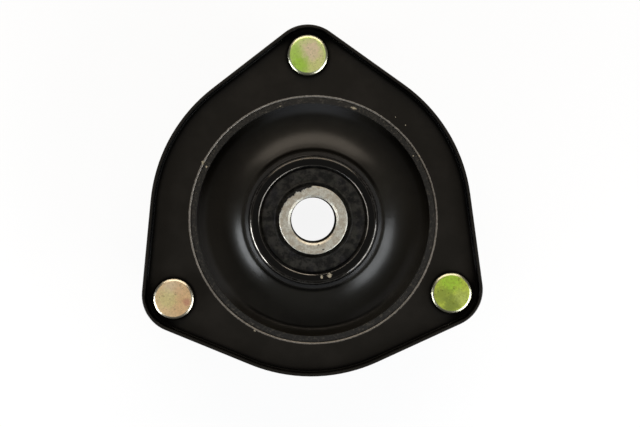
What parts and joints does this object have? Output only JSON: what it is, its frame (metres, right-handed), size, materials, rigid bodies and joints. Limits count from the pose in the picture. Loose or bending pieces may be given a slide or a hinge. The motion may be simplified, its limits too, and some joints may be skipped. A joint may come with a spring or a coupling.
{
  "type": "strut mount",
  "caption": "Top mount for a suspension strut: three-cornered lipped plate, pressed dish with a drawn neck, bonded rubber bush round a steel sleeve, and studs for the car body.",
  "frame": {"origin": "on the axis of the bush, where it crosses the front face of the mounting plate", "axes": "+Z along the bush axis down the strut, away from the car body, so the studs point along -Z; +Y towards stud_1; +X completes the right-handed frame"},
  "size_m": [0.1274, 0.1313, 0.036],
  "materials": {
    "black_coat": "satin black dip coat on pressed steel",
    "bare_steel": "turned, satin",
    "black_rubber": "moulded, matt",
    "yellow_zinc": "yellow zinc plating, mottled"
  },
  "bodies": {
    "root": {"mounting_plate": "black_coat", "dome_plate": "black_coat", "bearing_dish": "black_coat", "bush_shell": "black_coat", "inner_plate": "bare_steel", "rubber_bush": "black_rubber", "inner_sleeve": "bare_steel", "stud_1": "yellow_zinc", "stud_2": "yellow_zinc", "stud_3": "yellow_zinc"}
  },
  "joints": []
}
